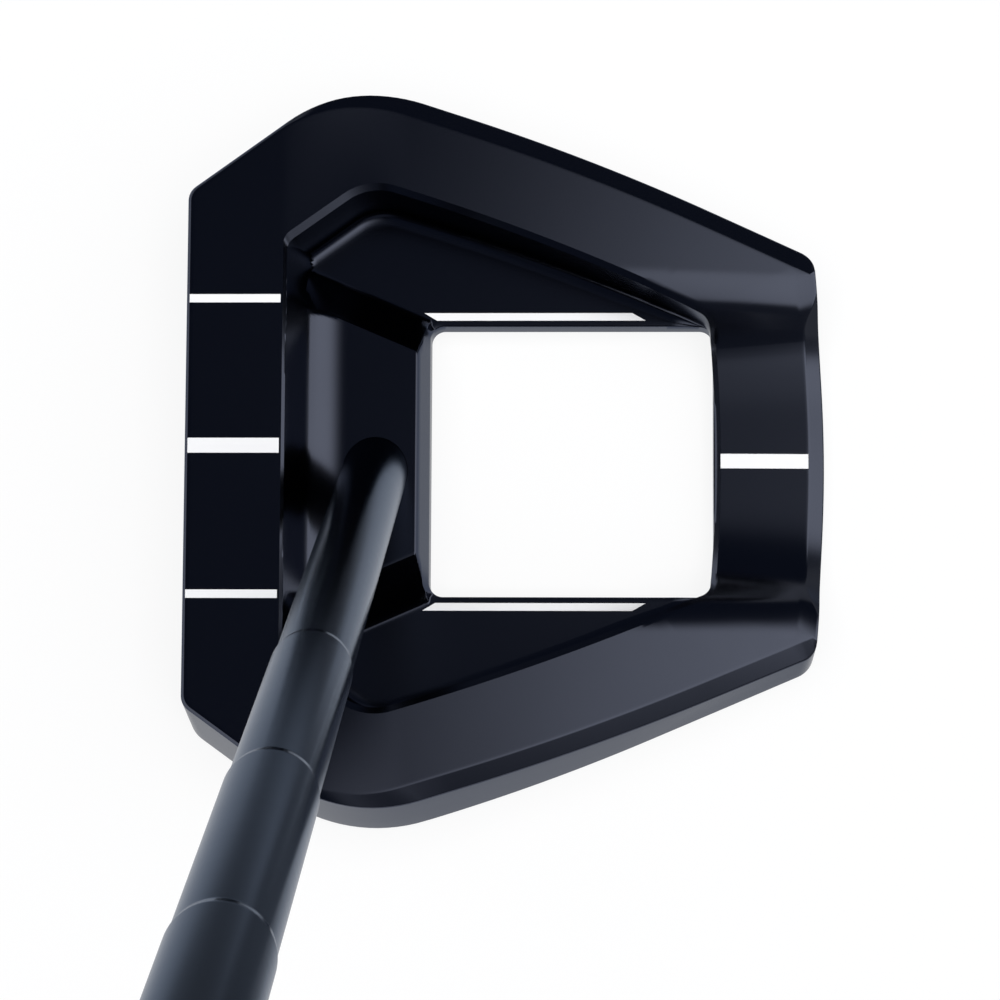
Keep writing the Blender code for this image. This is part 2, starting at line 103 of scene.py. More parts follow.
# Head: sections of the ring, as insets of (face, toe chamfer, front rail, rear rail, rear bar)
SOLE_EDGE = (0.3, -0.7, -0.2, 0.0, 0.9)
SKIRT_FOOT = (-0.9, -2.6, -2.2, -1.4, -0.1)
SHOULDER = (0.0, 0.0, 0.0, 0.0, 0.0)
TOP_EDGE = (0.5, 0.5, 2.6, 2.6, 2.2)
RIM_TOP = (13.9, 13.5, 13.2, 13.4, 15.2)
RIM_CHAMFER = (0.45, 1.0, 0.9, 0.9, 0.75)
CHAMFER_SLOPE = 0.78
REAR_CHAMFER_SLOPE = 1.02
REAR_CHAMFER = 0.75             # width of the chamfer along the rear bar, whose wall is low
FOOT_RISE = 1.2                 # height of the skirt's foot
FRONT_DROP = 0.75               # height of the outer bevel along the front, the rails and the rear bar
RAIL_DROP = 1.75
REAR_DROP = 1.7
DROP_SPAN = (20.0, 32.0)        # X between which the front's bevel drop grows to the rail's
RAIL_START = 14.0
RAIL_FALL = 0.03                # fall of the rails to the rear, and how it steepens
RAIL_CURVE = 0.00115
RAIL_TILT = math.tan(math.radians(3.5))
TILT_RUN = 18.0                 # length over which the tilt grows
EDGE_BREAK = 0.25
EDGE_LOOPS = 3
SOFTEST = 0.45                  # most of a side that the rounding of an edge may take up
SHARP_ANGLE = math.radians(33.0)
REAR_BEVEL_FADE = (18.5, 25.0)  # the rear bevel narrows away between these distances from the middle
NARROWEST_BEVEL = 0.08
TOP_STEPS = 24                  # loops across the ring's top
SKIRT_SHARES = (0.3, 0.6)       # places of the loops down the skirt and across the sole
SOLE_SHARES = (0.3, 0.7)

# Head: wall inside the ring and its foot
FLOOR_Z = 5.0
REAR_FLOOR_Z = 4.2
REAR_FLOOR_SPAN = (70.0, 76.0)  # X between which the floor falls to the rear's level
WALL_DRAFT = math.tan(math.radians(0.5))
WALL_FILLET = 1.8
FILLET_STEPS = 7
WALL_STEPS = 6
CHAMFER_STEPS = 3
FULL_WALL = 5.0                 # walls lower than this lean more and have smaller roundings
LOW_WALL_LEAN = 0.8
NARROW_FLOOR = (2.0, 6.0)       # widths of floor between which the wall's foot turns to face the window
FOOT_ROOM = 0.75                # most of the floor's width that the wall's foot may take up
JOIN_WIDTH = 0.3                # how softly the walls run into the boss

# Head: valley of the rear bar
VALLEY_Z = 5.2
VALLEY_FALL = 0.029             # it falls to the rear, and is level with its painted line at midway
VALLEY_MIDWAY = 84.0
VALLEY_ONSET = (40.0, 56.0)     # X between which it takes over from the rail
VALLEY_HOLLOW = (4.0, 19.0)     # distances from the middle between which it steepens to a wall
VALLEY_BROW = (20.8, 22.4)      # where the wall turns over
VALLEY_RIDGE = 26.6             # where the turned-over ridge meets the rail's top
HOLLOW_POWER = 4                # higher keeps the hollow flat for longer
RIDGE_SLOPE = 0.42              # steepness just past the brow, as a share of the wall's

# Head: window
WINDOW_REAR = 76.2
WINDOW_HALF = 20.1
WINDOW_RADIUS = 2.0
WINDOW_FRONT = 34.4
WINDOW_BREAK = 0.4
BREAK_SHARE = 0.12              # most of the floor's width that this edge break may take up

# Head: boss behind the face bar
BOSS_HALF = 29.5                # half width on the wing floor, where it leaves the bar
BOSS_TAPER = 0.433
BOSS_LEAN = 0.68
BOSS_REAR = 34.45               # foot of its rear face, at the window's front edge
BOSS_REAR_LEAN = 0.145
BOSS_EDGE = 0.35                # roundings: deck to sides, deck to rear face, boss to floor
BOSS_BROW = 2.0
BOSS_FILLET = 0.9
DECK_Z = 14.5
COVE_END = 22.5
COVE_RADIUS = 8.0
COVE_REACH = 5.4                # the cove's run, up to the rear wall of the bar
BAR_WALL_TOP = (14.35, 21.5)    # X and Z where the bar's rear wall starts
BAR_WALL_SLOPE = (1.78, 7.5)    # its steepness above the boss and beyond it
BAR_WALL_SPREAD = (20.5, 27.0)  # distances from the middle between which it changes

# Head: loops between the window and the wall, as shares of the way, close on the boss's rear face
CLOSE_COUNT = 12
CLOSE_STEP = 0.006
WIDE_COUNT = 31
WIDE_STEP = 0.029

# Face insert, sole weights, sight lines
FACE_LOFT = math.radians(2.5)
INSERT_Z = 11.0
INSERT_SIZE = (68.0, 12.5, 3.0)
INSERT_RADIUS = 3.0
INSERT_EDGE = 0.2
PLATE_STEPS = 6                 # points round each of its corners
MILLING_COUNT = 11
MILLING_PITCH = 1.0
MILLING_DEPTH = 0.22
MILLING_WIDTH = (0.12, 0.5)     # half width at the bottom, and as far in front as the groove is deep
WEIGHT_RADIUS = 4.5
WEIGHT_BOTTOM = 0.4
WEIGHT_TOP = 7.4
WEIGHT_EDGE = 0.35
WEIGHT_SOCKET = (2.3, 3.4)      # radius, and Z of its inner end
WEIGHT_SPOTS = ((9.0, 31.0), (24.0, 43.5), (50.0, 38.6), (80.0, 25.0))
COUNTERSINK = 0.3               # depth of the socket's countersink
DISC_SIDES = 48
HEX_SIDES = 6
GROOVE_DEPTH = 0.6
FIT = 0.05                      # clearance round let-in pieces
CUT_PAST = 3.0                  # how far cutters reach out: insert and weights, sockets, lines
SOCKET_PAST = 1.0
GROOVE_PAST = 2.0
SHAFT_CUT = 40.0                # height of the shaft's cutter, along its axis

# Shaft and grip, along the shaft's axis
LIE = math.radians(69.4)
FORWARD_LEAN = math.radians(0.5)
SHAFT_CROSSING_Z = 7.0
SHAFT_TIP = -3.2
SHAFT_BUTT = 850.0
TIP_RADIUS = 4.7
FIRST_STEP = 109.0
STEP_PITCH = 46.8
STEP_COUNT = 11
STEP_RISE = 0.25
STEP_CONE = 2.0
STEP_LOOPS = 6
BORE_TIP_RADIUS = 4.0
BORE_BUTT_RADIUS = 6.75
SHAFT_SIDES = 72
GRIP_START = 583.0
GRIP_END = 851.0
GRIP_BORE = 8.35
GRIP_POINTS = 96
GRIP_FLATNESS = 1.45            # how soon the round sides turn into the flat front
GRIP_CORNER = 3.0
GRIP_ROUND = 1.4                # rounding of its ends
ROUND_LOOPS = 5
RIB_SPAN = (606.0, 826.0)       # cross grooves in the flat front
RIB_PITCH = 4.4
RIB_DEPTH = 0.4
RIB_WIDTH = (0.55, 0.95)        # half width at the bottom and at the top
RIB_REACH = (0.68, 0.6)         # how far across the front they run, as shares of its half width
CAP_BASE = 851.3
CAP_RADIUS = 9.5
CAP_RIM = 0.5
CAP_HEIGHT = (0.9, 2.5)         # at the rim and at the middle
CAP_RIM_SHARES = (0.1, 0.3, 0.6, 1.0)
CAP_RING = (6.4, 7.2)           # radii of the groove in its dome
CAP_RING_DEPTH = 0.3
CAP_RING_EDGE = 0.2
CAP_DOME_RADII = (5.0, 3.5, 2.2)
VENT_RADIUS = 1.2

# Grip's sections: share of its length, half width, depth at the back, depth at the front
GRIP_SECTIONS = ((0.0, 10.2, 10.6, 9.9), (0.12, 11.2, 11.8, 10.4), (0.35, 12.0, 13.2, 10.8),
                 (0.6, 12.6, 14.2, 11.0), (0.82, 13.4, 16.0, 11.2), (0.94, 13.8, 17.4, 11.2),
                 (1.0, 13.0, 16.6, 10.6))

# Finishes
DRIFT = 0.05                    # how far a colour drifts, and over what length
DRIFT_MM = 14.0
DRIFT_DETAIL = 2.0
GRAIN_DETAIL = 3.0
GRAIN_ROUGHNESS = 0.6
ROUGHNESS_SPREAD = 0.14
RING_SQUEEZE = 0.02             # grain across the shaft's rings, as a share of the grain along its axis

HEAD_PLACE = Matrix.Translation(Vector((-FACE_TO_ORIGIN, 0.0, 0.0)) * MM) @ Matrix.Scale(MM, 4)
FACE_SETBACK = (HEAD_HEIGHT - INSERT_Z) * math.tan(FACE_LOFT)
FACE_PLACE = (Matrix.Translation(Vector((-FACE_TO_ORIGIN - FACE_SETBACK, 0.0, INSERT_Z)) * MM)
              @ Euler((0.0, FACE_LOFT, 0.0)).to_matrix().to_4x4() @ Matrix.Scale(MM, 4))
SHAFT_PLACE = (Matrix.Translation(Vector((0.0, 0.0, SHAFT_CROSSING_Z)) * MM)
               @ Euler((math.pi / 2 - LIE, -FORWARD_LEAN, 0.0)).to_matrix().to_4x4() @ Matrix.Scale(MM, 4))


def part_way(value, low, high):
    return min(max((value - low) / (high - low), 0.0), 1.0)


def ease(value, low, high):
    t = part_way(value, low, high)
    return t * t * (3 - 2 * t)


def smooth_max(a, b, width):
    overlap = max(width - abs(a - b), 0.0) / width
    return max(a, b) + overlap * overlap * width / 4


def smooth_min(a, b, width):
    return -smooth_max(-a, -b, width)


def mix_loops(first, second, share):
    return [a.lerp(b, share) for a, b in zip(first, second)]


def soften(before, corner, after, reach):
    """Loops of a rounded corner: a curve that leaves the corner's two sides at the reach."""
    loops = []
    for i in range(EDGE_LOOPS + 1):
        t = i / EDGE_LOOPS
        loop = []
        for a, b, c in zip(before, corner, after):
            start = b + (a - b).normalized() * min(reach, (a - b).length * SOFTEST)
            end = b + (c - b).normalized() * min(reach, (c - b).length * SOFTEST)
            loop.append(start * (1 - t) ** 2 + b * 2 * t * (1 - t) + end * t * t)
        loops.append(loop)
    return loops


def line_crossing(line_a, line_b):
    """Crossing of two lines, each a (point, direction) pair."""
    (ax, ay), (dx, dy) = line_a
    (bx, by), (ex, ey) = line_b
    along = ((bx - ax) * ey - (by - ay) * ex) / (dx * ey - dy * ex)
    return Vector((ax + dx * along, ay + dy * along))


def corner_arc(before, corner, after, radius, steps):
    """Points of the arc that rounds a clockwise corner between two directions."""
    turn = abs(before.angle_signed(after))
    start = corner - before * radius * math.tan(turn / 2)
    centre = start + Vector((before.y, -before.x)) * radius
    spoke = start - centre
    points = []
    for i in range(steps + 1):
        cosine = math.cos(turn * i / steps)
        sine = -math.sin(turn * i / steps)
        turned = Vector((spoke.x * cosine - spoke.y * sine, spoke.x * sine + spoke.y * cosine))
        points.append(centre + turned)
    return points


def half_outline(insets):
    """Toe half of the head's plan, from the bar's middle to the rear, each side moved in by its inset."""
    stops = [(0.0, 0.0), (0.0, FACE_HALF), APEX, MID_RAIL, REAR_CORNER, REAR_MIDDLE]
    lines = []
    for start, end, inset in zip(stops, stops[1:], insets):
        heading = (Vector(end) - Vector(start)).normalized()
        moved = Vector(start) + Vector((heading.y, -heading.x)) * inset
        lines.append((tuple(moved), tuple(heading)))
    (rear_x, rear_y), (heading_x, heading_y) = lines[-1]
    lines.append(((rear_x, -rear_y), (-heading_x, heading_y)))
    inset_after = list(insets[1:]) + [insets[-1]]
    points = [Vector((insets[0], 0.0))]
    for i, (radius, steps) in enumerate(zip(CORNER_RADII, CORNER_STEPS)):
        corner = line_crossing(lines[i], lines[i + 1])
        turn = abs(Vector(lines[i][1]).angle_signed(Vector(lines[i + 1][1])))
        room = LONGEST_ROUNDING * (corner - points[-1]).length
        rounding = max(radius - (insets[i] + inset_after[i]) / 2, INNER_RADIUS)
        rounding = min(rounding, room / math.tan(turn / 2))
        arc = corner_arc(Vector(lines[i][1]), corner, Vector(lines[i + 1][1]), rounding, steps)
        if i == len(CORNER_RADII) - 1:
            arc = arc[:steps // 2 + 1]
        start = points[-1]
        points += [start.lerp(arc[0], j / SIDE_STEPS[i]) for j in range(1, SIDE_STEPS[i])] + arc
    points[-1].y = 0.0
    return points


def inset_mix(first, second, share):
    return [a + (b - a) * share for a, b in zip(first, second)]


def valley_share(y):
    """Height across the rear bar as a share of the rise to the rails: hollow, wall, brow and ridge."""
    out = abs(y)
    foot, wall = VALLEY_HOLLOW
    brow, edge = VALLEY_BROW

    def rise(hollow, flank, turn, ridge):
        turned = (edge - brow) * (turn - (1 - RIDGE_SLOPE) * turn ** 2 / 2)
        crest = (VALLEY_RIDGE - edge) * RIDGE_SLOPE * (ridge - ridge ** 2 / 2)
        hollowed = (wall - foot) / HOLLOW_POWER * hollow ** HOLLOW_POWER
        return hollowed + (brow - wall) * flank + turned + crest
    spans = ((foot, wall), (wall, brow), (brow, edge), (edge, VALLEY_RIDGE))
    return rise(*[part_way(out, low, high) for low, high in spans]) / rise(1.0, 1.0, 1.0, 1.0)


def top_height(point, from_rim):
    """Ring's top: level on the face bar, falling and tilted out on the rails, hollow on the rear bar."""
    run = max(0.0, point.x - RAIL_START)
    tilt = RAIL_TILT * ease(point.x, RAIL_START, RAIL_START + TILT_RUN)
    rail = HEAD_HEIGHT - RAIL_FALL * run - RAIL_CURVE * run * run - tilt * from_rim
    floor = VALLEY_Z - VALLEY_FALL * (point.x - VALLEY_MIDWAY)
    valley = floor + (rail - floor) * valley_share(point.y)
    return rail + (valley - rail) * ease(point.x, *VALLEY_ONSET)


def boss_height(x, y):
    """Boss: leaning sides, level deck, cove and steep rear face, and the bar's rear wall above it."""
    side = FLOOR_Z + (BOSS_HALF - BOSS_TAPER * (x - RAIL_START) - abs(y)) / BOSS_LEAN
    reach = min(max(COVE_END - x, 0.0), COVE_REACH)
    deck = DECK_Z + COVE_RADIUS - math.sqrt(COVE_RADIUS ** 2 - reach ** 2)
    rear = FLOOR_Z + (BOSS_REAR - x) / BOSS_REAR_LEAN
    boss = smooth_min(smooth_min(side, deck, BOSS_EDGE), rear, BOSS_BROW)
    near, far = BAR_WALL_SLOPE
    slope = near + (far - near) * ease(abs(y), *BAR_WALL_SPREAD)
    wall_x, wall_z = BAR_WALL_TOP
    return smooth_max(boss, wall_z - (x - wall_x) * slope, JOIN_WIDTH)


def floor_height(x):
    return FLOOR_Z + (REAR_FLOOR_Z - FLOOR_Z) * ease(x, *REAR_FLOOR_SPAN)


def interior_height(x, y):
    return smooth_max(floor_height(x), boss_height(x, y), BOSS_FILLET)


def window_point(station, grow):
    """Point of the window's plan on one of its sides, moved outwards by grow."""
    side, share = station
    front = WINDOW_FRONT - grow
    rear = WINDOW_REAR + grow
    half = WINDOW_HALF + grow
    radius = WINDOW_RADIUS + grow
    if side == "front":
        return Vector((front, (half - radius) * share))
    if side == "front_corner":
        angle = math.pi - math.pi / 2 * share
        return Vector((front + radius + radius * math.cos(angle), half - radius + radius * math.sin(angle)))
    if side == "toe":
        return Vector((front + radius + (rear - front - 2 * radius) * share, half))
    if side == "rear_corner":
        angle = math.pi / 2 * (1 - share)
        return Vector((rear - radius + radius * math.cos(angle), half - radius + radius * math.sin(angle)))
    return Vector((rear, (half - radius) * (1 - share)))


def window_stations(rim):
    """Side of the window, and the share along it, that each point of the rim looks to."""
    bar_end = SIDE_STEPS[0]
    apex_end = bar_end + CORNER_STEPS[0] + SIDE_STEPS[1] + CORNER_STEPS[1]
    rail_end = apex_end + SIDE_STEPS[2] + CORNER_STEPS[2] + SIDE_STEPS[3]
    corner_end = rail_end + CORNER_STEPS[3]
    stations = []
    for i, point in enumerate(rim):
        if i <= bar_end:
            stations.append(("front", point.y / rim[bar_end].y))
        elif i <= apex_end:
            stations.append(("front_corner", (i - bar_end) / (apex_end - bar_end)))
        elif i <= rail_end:
            stations.append(("toe", (point.x - rim[apex_end].x) / (rim[rail_end].x - rim[apex_end].x)))
        elif i <= corner_end:
            stations.append(("rear_corner", (i - rail_end) / (corner_end - rail_end)))
        else:
            stations.append(("rear", 1 - point.y / rim[corner_end].y))
    return stations


def lift(points, heights):
    return [Vector((p.x, p.y, z)) for p, z in zip(points, heights)]


def ring_loop(insets):
    """Loop on the ring's top at the given insets."""
    points = half_outline(insets)
    return lift(points, [top_height(p, max(RIM_TOP[2] - insets[2], 0.0)) for p in points])


def window_loops(stations, rim):
    """Loops up the window's wall, from the sole to its rounded top edge."""
    edge = [window_point(station, 0.0) for station in stations]
    heights = [interior_height(p.x, p.y) for p in edge]
    breaks = [min(WINDOW_BREAK, BREAK_SHARE * (a - b).length) for a, b in zip(edge, rim)]
    foot = [window_point(station, EDGE_BREAK) for station in stations]
    under = lift(edge, [z - 2 * reach for z, reach in zip(heights, breaks)])
    inner = []
    for station, reach in zip(stations, breaks):
        point = window_point(station, 2 * reach)
        inner.append(Vector((point.x, point.y, interior_height(point.x, point.y))))
    above = lift(edge, [EDGE_BREAK] * len(edge))
    top_edge = soften(under, lift(edge, heights), inner, WINDOW_BREAK)
    return [lift(foot, [0.0] * len(foot)), above, mix_loops(above, under, 0.5)] + top_edge + [inner]


def wall_heading(p_rim, p_inward, p_window):
    """Direction, in plan, in which the wall's foot leaves the rim, and the room there is to the window."""
    across = p_window - p_rim
    square = p_inward - p_rim
    turned = 1 - ease(across.length, *NARROW_FLOOR)
    return square.lerp(across.normalized(), turned), across.length


def wall_profile(p_top, p_rim, p_inward, station):
    """Points up the wall at one place of the outline: rounded foot, leaning wall and chamfered rim."""
    step, room = wall_heading(p_rim, p_inward, window_point(station, 0.0))
    z_rim = top_height(p_top, 0.0)
    floor = floor_height(p_rim.x)
    share = min(1.0, (z_rim - floor) / FULL_WALL)
    fillet = WALL_FILLET * share ** 2
    at_rear = {"rear": 1.0, "rear_corner": station[1]}.get(station[0], 0.0)
    width = max(max(RIM_CHAMFER) * share, REAR_CHAMFER * at_rear)
    slope = CHAMFER_SLOPE + (REAR_CHAMFER_SLOPE - CHAMFER_SLOPE) * at_rear
    chamfer = slope * min(width, (p_rim - p_top).length)
    lean = WALL_DRAFT + (LOW_WALL_LEAN - WALL_DRAFT) * (1 - share)
    draft = max(0.0, z_rim - floor - fillet - chamfer) * lean
    squeeze = min(1.0, FOOT_ROOM * room / (draft + fillet))
    foot_run = (draft + fillet) * squeeze
    points = []
    for i in range(FILLET_STEPS + 1):
        angle = math.pi / 2 * i / FILLET_STEPS
        run = foot_run - fillet * squeeze * math.sin(angle)
        points.append((p_rim + step * run, floor + fillet * (1 - math.cos(angle))))
    rise = z_rim - chamfer - floor - fillet
    for i in range(1, WALL_STEPS):
        run = draft * squeeze * (1 - i / WALL_STEPS)
        points.append((p_rim + step * run, floor + fillet + rise * i / WALL_STEPS))
    for i in range(CHAMFER_STEPS + 1):
        points.append((p_rim.lerp(p_top, i / CHAMFER_STEPS), z_rim - chamfer * (1 - i / CHAMFER_STEPS)))
    profile = []
    for spot, z in points:
        drop = min(max(0.0, (spot - p_top).dot(step.normalized())), chamfer)
        boss = min(boss_height(spot.x, spot.y), z_rim - drop)
        height = min(smooth_max(z, boss, JOIN_WIDTH), max(z, z_rim - drop))
        profile.append(Vector((spot.x, spot.y, height)))
    return profile


def wall_loops():
    """Loops from the foot of the wall inside the ring up to its chamfered rim."""
    top = half_outline(RIM_TOP)
    rim_insets = [inset + chamfer for inset, chamfer in zip(RIM_TOP, RIM_CHAMFER)]
    rim = half_outline(rim_insets)
    inward = half_outline([inset + 1.0 for inset in rim_insets])
    stations = window_stations(rim)
    profiles = [wall_profile(*spot) for spot in zip(top, rim, inward, stations)]
    return [list(loop) for loop in zip(*profiles)], stations, rim


def rail_inwards():
    """Direction square to the rear half of the rail's outer side, towards the window."""
    heading = (Vector(REAR_CORNER) - Vector(MID_RAIL)).normalized()
    return Vector((heading.y, -heading.x))


def bevel_width(i, point):
    """Share of the bevel's width at an outline point: it runs out at the rear corner and grows again."""
    share = 1.0
    if i > REAR_INDEX:
        share = 1 - ease(abs(point.y), *REAR_BEVEL_FADE)
    elif i > RAIL_INDEX:
        share = 1 - (point - Vector(REAR_CORNER)).dot(rail_inwards()) / TOP_EDGE[3]
    return max(share, NARROWEST_BEVEL)


def floor_shares():
    """Places of the loops between the window and the wall."""
    close = [CLOSE_STEP * i for i in range(1, CLOSE_COUNT + 1)]
    return close + [close[-1] + WIDE_STEP * i for i in range(1, WIDE_COUNT + 1)]


def head_loops():
    """Closed stack of half loops round the head's section: window, interior, wall, top, skirt and sole."""
    wall, stations, rim = wall_loops()
    window = window_loops(stations, rim)
    interior = []
    for share in floor_shares():
        loop = mix_loops(window[-1], wall[0], share)
        interior.append([Vector((p.x, p.y, interior_height(p.x, p.y))) for p in loop])
    top = [ring_loop(inset_mix(RIM_TOP, TOP_EDGE, i / TOP_STEPS)) for i in range(1, TOP_STEPS + 1)]
    shoulder_points = half_outline(SHOULDER)
    shoulder = []
    for i, point in enumerate(shoulder_points):
        width = bevel_width(i, point)
        above = top[-1][i]
        if RAIL_INDEX < i <= REAR_INDEX:
            above.xy = point + rail_inwards() * TOP_EDGE[3] * width
        else:
            above.xy = point.lerp(above.xy, width)
        above.z = top_height(above, RIM_TOP[2] - TOP_EDGE[2])
        drop = FRONT_DROP + (RAIL_DROP - FRONT_DROP) * ease(point.x, *DROP_SPAN)
        if i > REAR_INDEX:
            drop = REAR_DROP
        shoulder.append(Vector((point.x, point.y, above.z - drop * width)))
    foot = lift(half_outline(SKIRT_FOOT), [FOOT_RISE] * len(shoulder))
    sole = lift(half_outline(SOLE_EDGE), [0.0] * len(shoulder))
    edge = soften(top[-2], top[-1], shoulder, EDGE_BREAK)
    brow = soften(top[-1], shoulder, foot, EDGE_BREAK)
    skirt = [mix_loops(shoulder, foot, share) for share in SKIRT_SHARES]
    hem = soften(shoulder, foot, sole, 2 * EDGE_BREAK) + soften(foot, sole, window[0], 2 * EDGE_BREAK)
    under = [mix_loops(sole, window[0], share) for share in SOLE_SHARES]
    return window + interior + wall + top[:-1] + edge + brow + skirt + hem + under


def mirrored(half):
    return half + [Vector((p.x, -p.y, p.z)) for p in reversed(half[1:-1])]


def closed_mesh(name, loops, place):
    """Closed mesh through loops of equal length, the last joined to the first."""
    count = len(loops[0])
    verts = [place @ Vector(p) for loop in loops for p in loop]
    faces = []
    for k in range(len(loops)):
        here, there = k * count, (k + 1) % len(loops) * count
        for i in range(count):
            j = (i + 1) % count
            faces.append((here + i, here + j, there + j, there + i))
    mesh = bpy.data.meshes.new(name)
    mesh.from_pydata(verts, [], faces)
    return mesh


def outward(mesh):
    """Point a closed mesh's faces outwards."""
    bm = bmesh.new()
    bm.from_mesh(mesh)
    bmesh.ops.recalc_face_normals(bm, faces=bm.faces)
    if bm.calc_volume(signed=True) < 0:
        bmesh.ops.reverse_faces(bm, faces=bm.faces)
    bm.to_mesh(mesh)
    bm.free()


def add_piece(name, mesh, finish, replaced, place=None):
    """Link a finished mesh as a piece that stands for a CAD node."""
    outward(mesh)
    mesh.materials.clear()
    mesh.materials.append(finish)
    mesh.shade_smooth()
    mesh.set_sharp_from_angle(angle=SHARP_ANGLE)
    piece = bpy.data.objects.new(name, mesh)
    bpy.context.scene.collection.objects.link(piece)
    if place:
        piece.matrix_world = place
    even = piece.modifiers.new("flat_faces_stay_flat", "WEIGHTED_NORMAL")
    even.keep_sharp = True
    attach(piece, BODY)
    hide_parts(replaced)


def rounded_rectangle(x0, x1, half, radius):
    points = []
    for cx, cy, quarter in ((x1 - radius, half - radius, 0), (x0 + radius, half - radius, 1),
                            (x0 + radius, radius - half, 2), (x1 - radius, radius - half, 3)):
        for i in range(PLATE_STEPS + 1):
            angle = math.pi / 2 * (quarter + i / PLATE_STEPS)
            points.append((cx + radius * math.cos(angle), cy + radius * math.sin(angle)))
    return points


def circle(radius, centre, sides):
    return [(centre[0] + radius * math.cos(2 * math.pi * i / sides),
             centre[1] + radius * math.sin(2 * math.pi * i / sides)) for i in range(sides)]


def at_height(outline, z):
    return [(x, y, z) for x, y in outline]


def add_prism(bm, loops, place):
    """Closed prism through two or more loops of points, added to a bmesh."""
    rings = [[bm.verts.new(place @ Vector(p)) for p in loop] for loop in loops]
    for lower, upper in zip(rings, rings[1:]):
        for i in range(len(lower)):
            j = (i + 1) % len(lower)
            bm.faces.new((lower[i], lower[j], upper[j], upper[i]))
    bm.faces.new(list(reversed(rings[0])))
    bm.faces.new(rings[-1])


def plan_corners(node):
    """Plan box of a painted line, in head millimetres, with its lowest and highest Z."""
    low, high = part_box(node)
    to_head = HEAD_PLACE.inverted()
    return to_head @ low, to_head @ high


def groove_outline(node):
    """Outline of a painted line's groove, a little wider than the line: slant-ended beside the window."""
    verts = {(round(v.co.x, 6), round(v.co.y, 6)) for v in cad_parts[node].data.vertices}
    points = [HEAD_PLACE.inverted() @ Vector((x, y, 0.0)) for x, y in verts]
    middle = sum(points, Vector()) / len(points)
    points.sort(key=lambda p: math.atan2(p.y - middle.y, p.x - middle.x))
    outline = []
    for p in points:
        out = p - middle
        outline.append((p.x + math.copysign(FIT, out.x), p.y + math.copysign(FIT, out.y)))
    return outline


def head_cutter():
    """Everything let into the head: insert, weights, painted lines and shaft."""
    length, height, depth = INSERT_SIZE
    half = height / 2 + FIT
    plate = rounded_rectangle(-half, half, length / 2 + FIT, INSERT_RADIUS)
    bm = bmesh.new()
    add_prism(bm, [[(x, y, z) for z, y in plate] for x in (-CUT_PAST, depth + FIT)], FACE_PLACE)
    for x, y in WEIGHT_SPOTS:
        for side in (1, -1):
            disc = circle(WEIGHT_RADIUS + FIT, (x, side * y), DISC_SIDES)
            add_prism(bm, [at_height(disc, z) for z in (-CUT_PAST, WEIGHT_TOP + FIT)], HEAD_PLACE)
    for node in sorted(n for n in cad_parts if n.startswith("sightline")):
        top = plan_corners(node)[1].z
        outline = groove_outline(node)
        levels = (top - GROOVE_DEPTH, top + GROOVE_PAST)
        add_prism(bm, [at_height(outline, z) for z in levels], HEAD_PLACE)
    disc = circle(TIP_RADIUS + FIT, (0.0, 0.0), SHAFT_SIDES)
    add_prism(bm, [at_height(disc, z) for z in (SHAFT_TIP - FIT, SHAFT_CUT)], SHAFT_PLACE)
    mesh = bpy.data.meshes.new("head_cutter")
    bm.to_mesh(mesh)
    bm.free()
    outward(mesh)
    return mesh


def carve(mesh, cutter_mesh):
    """Mesh with the cutter taken out of it."""
    outward(mesh)
    solid = bpy.data.objects.new("carved", mesh)
    cutter = bpy.data.objects.new("cutter", cutter_mesh)
    for part in (solid, cutter):
        bpy.context.scene.collection.objects.link(part)
    cut = solid.modifiers.new("cut", "BOOLEAN")
    cut.operation = "DIFFERENCE"
    cut.solver = "EXACT"
    cut.object = cutter
    graph = bpy.context.evaluated_depsgraph_get()
    result = bpy.data.meshes.new_from_object(solid.evaluated_get(graph))
    for part in (solid, cutter):
        bpy.data.objects.remove(part, do_unlink=True)
    return result


def node_tools(name):
    """New material with its node tree, shader and a helper that adds a node."""
    mat = bpy.data.materials.new(name)
    mat.use_nodes = True
    tree = mat.node_tree

    def add(kind, **values):
        node = tree.nodes.new(kind)
        for key, value in values.items():
            if key in node.inputs:
                node.inputs[key].default_value = value
            else:
                setattr(node, key, value)
        return node
    return mat, tree.links.new, tree.nodes["Principled BSDF"], add


def math_of(tree, operation, *values):
    """Output of a Math node that takes numbers and other nodes' outputs."""
    node = tree.nodes.new("ShaderNodeMath")
    node.operation = operation
    for value, socket in zip(values, node.inputs):
        if isinstance(value, float):
            socket.default_value = value
        else:
            tree.links.new(value, socket)
    return node.outputs["Value"]


def ramp_of(tree, value, span, levels=(0.0, 1.0)):
    """Output of a node that goes smoothly from one level to the other as the value crosses the span."""
    node = tree.nodes.new("ShaderNodeMapRange")
    node.interpolation_type = "SMOOTHSTEP"
    for key, number in zip(("From Min", "From Max", "To Min", "To Max"), (*span, *levels)):
        node.inputs[key].default_value = number
    tree.links.new(value, node.inputs["Value"])
    return node.outputs["Result"]


